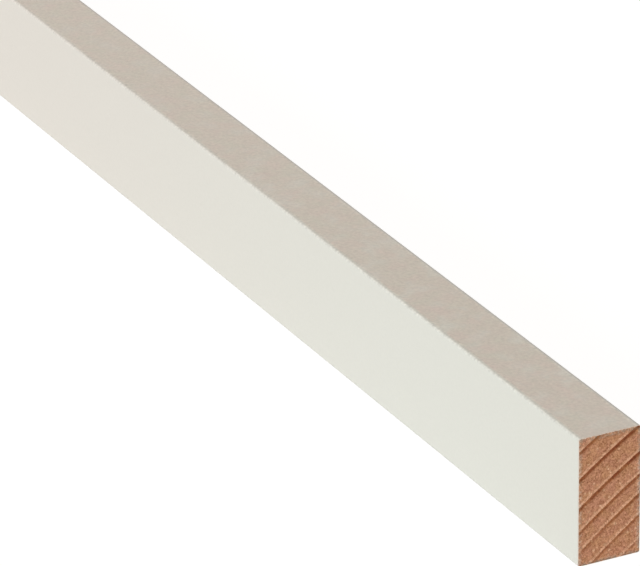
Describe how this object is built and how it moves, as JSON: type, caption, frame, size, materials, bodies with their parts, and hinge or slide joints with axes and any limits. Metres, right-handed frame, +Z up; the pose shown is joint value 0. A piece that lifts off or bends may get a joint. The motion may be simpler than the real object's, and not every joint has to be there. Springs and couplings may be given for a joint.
{
  "type": "rectangular moulding strip",
  "caption": "Straight timber moulding strip of plain rectangular section with softly eased long corners, painted white, its square-sawn ends left bare.",
  "frame": {"origin": "middle of the narrow edge that the strip stands on, halfway along it", "axes": "+X along the strip, +Y out of its back wide face, +Z up across the wide faces"},
  "size_m": [0.9, 0.01, 0.02],
  "materials": {
    "painted_pine": "satin"
  },
  "bodies": {
    "root": {"moulding_strip": "painted_pine"}
  },
  "joints": []
}
